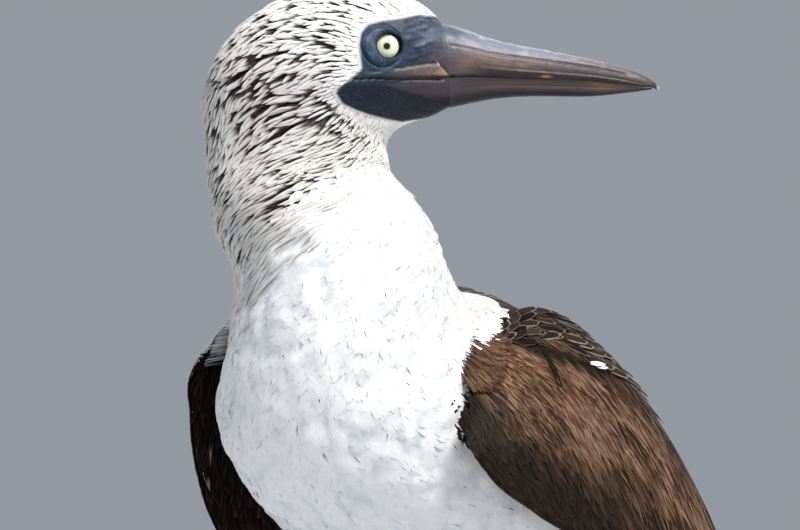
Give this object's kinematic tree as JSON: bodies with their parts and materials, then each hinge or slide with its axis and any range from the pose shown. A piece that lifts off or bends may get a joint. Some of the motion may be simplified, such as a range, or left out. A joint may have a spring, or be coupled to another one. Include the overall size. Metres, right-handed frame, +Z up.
{
  "type": "blue-footed booby",
  "caption": "Life-size still model of a standing blue-footed booby, head turned over its left shoulder, wings folded, with bright blue webbed feet and a long pointed bill.",
  "frame": {"origin": "middle of the plan of the whole bird, at floor level under the feet", "axes": "+Z up; the body faces -Y with the tail toward +Y; +X is the bird's left, and the bill points to +X and a little toward +Y"},
  "size_m": [0.214, 0.4684, 0.4207],
  "materials": {
    "head_plumage": "matt streaked feather",
    "neck_plumage": "matt streaked feather",
    "body_plumage": "soft white feather",
    "tail_feathers": "smooth feather",
    "wing_feathers": "smooth brown feather",
    "leg_plumage": "soft white feather",
    "foot_skin": "smooth skin, slight sheen",
    "eye": "wet gloss",
    "bill_horn": "horn, satin"
  },
  "bodies": {
    "root": {"head": "head_plumage", "neck": "neck_plumage", "trunk": "body_plumage", "tail": "tail_feathers", "wing_left": "wing_feathers", "wing_right": "wing_feathers", "leg_left": "leg_plumage", "leg_right": "leg_plumage", "foot_left": "foot_skin", "foot_right": "foot_skin", "eye_left": "eye", "eye_right": "eye", "bill_upper": "bill_horn", "bill_lower": "bill_horn"}
  },
  "joints": []
}
